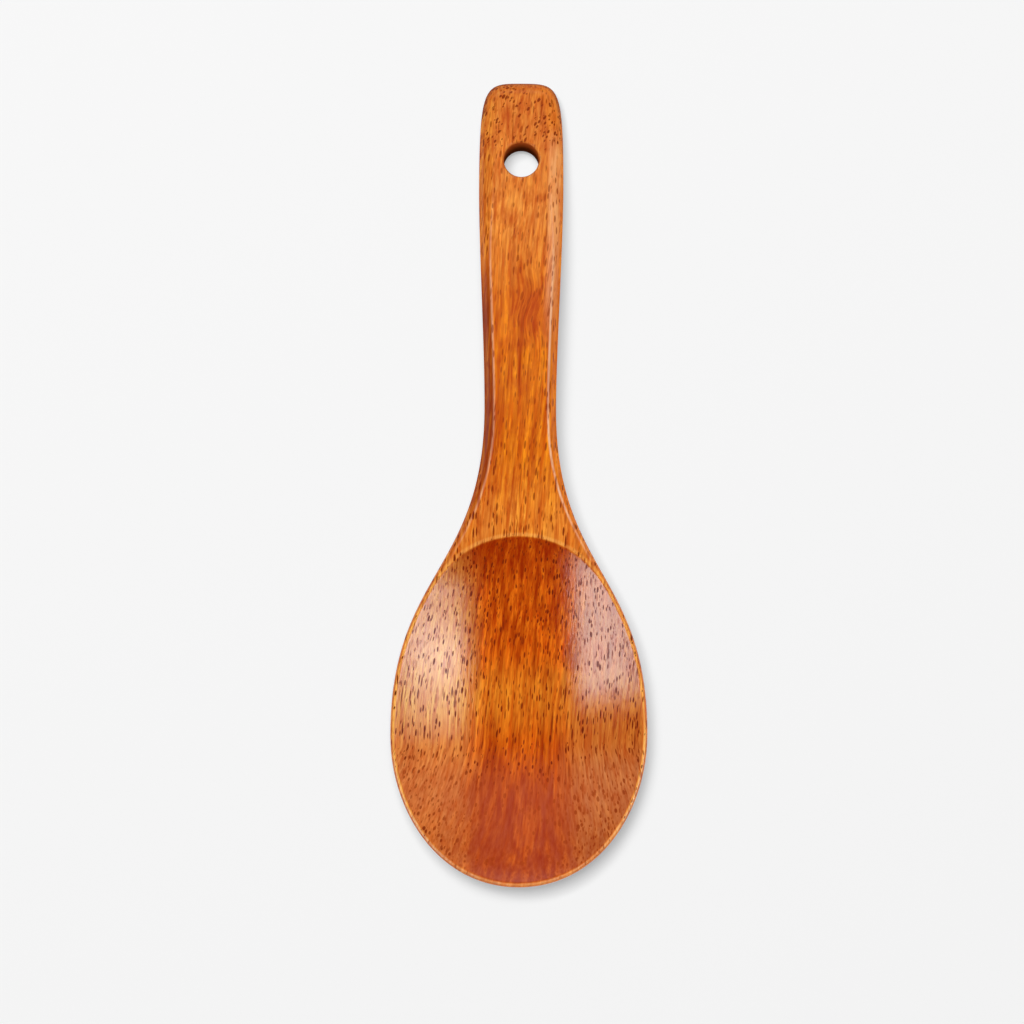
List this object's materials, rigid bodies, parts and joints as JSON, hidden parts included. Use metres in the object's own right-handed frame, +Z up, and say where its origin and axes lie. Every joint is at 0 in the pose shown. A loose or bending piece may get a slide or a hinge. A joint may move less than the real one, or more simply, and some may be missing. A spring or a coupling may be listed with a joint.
{
  "type": "wooden spoon turner",
  "caption": "Spoon-shaped wooden turner with a shallow egg-shaped dish, a waisted neck and a gently arched grip with a hanging hole, for stirring, turning and serving rice.",
  "frame": {"origin": "middle of the length and width, on the table that the sole of the bowl rests on", "axes": "+X across the width, +Y along the length from the bowl's tip to the end of the grip, +Z up out of the dish"},
  "size_m": [0.0734, 0.23, 0.0192],
  "materials": {
    "lacquered_wood": "clear gloss lacquer over open-pored orange-brown wood, grain along the length"
  },
  "bodies": {
    "root": {"carved_turner": "lacquered_wood"}
  },
  "joints": []
}
